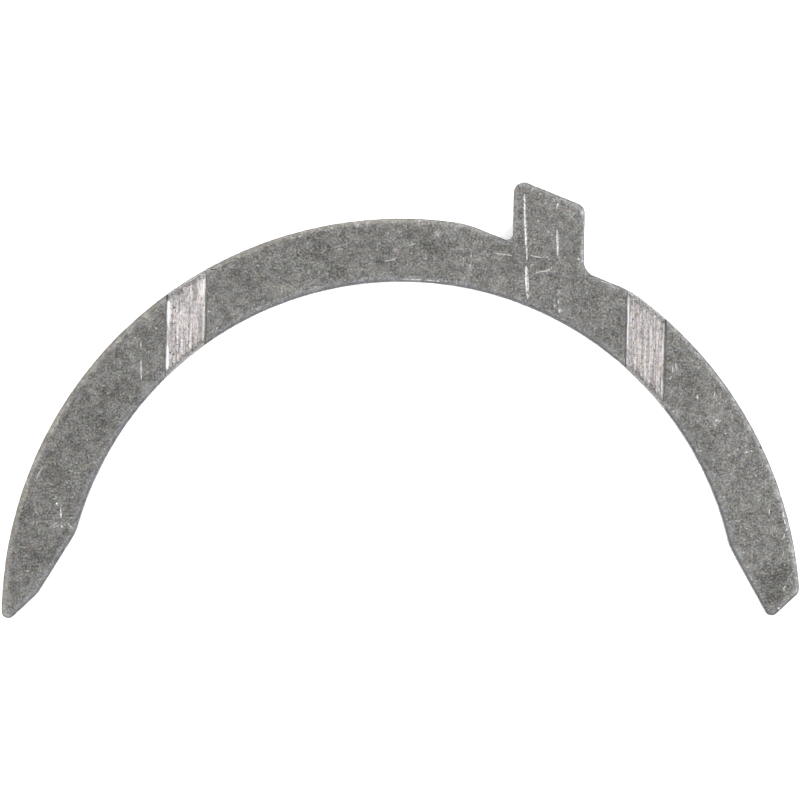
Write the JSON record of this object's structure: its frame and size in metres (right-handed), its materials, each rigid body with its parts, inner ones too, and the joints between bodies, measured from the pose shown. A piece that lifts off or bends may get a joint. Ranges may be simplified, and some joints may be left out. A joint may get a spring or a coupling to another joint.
{
  "type": "thrust washer",
  "caption": "Half-round steel thrust washer with an off-centre locating lug, oil grooves across its thrust face and relieved, slanting ends.",
  "frame": {"origin": "on the crankshaft's axis, which is the centre of the washer's arcs, in the plane of the back face", "axes": "+Z out of the grooved thrust face, +Y from the axis towards the top of the arch and parallel to the grooves and to the lug's flanks, +X to the lug's side"},
  "size_m": [0.0778, 0.0437, 0.0024],
  "materials": {
    "steel": "dull grey tumbled face, bright machined groove floors"
  },
  "bodies": {
    "root": {"thrust_washer": "steel"}
  },
  "joints": []
}
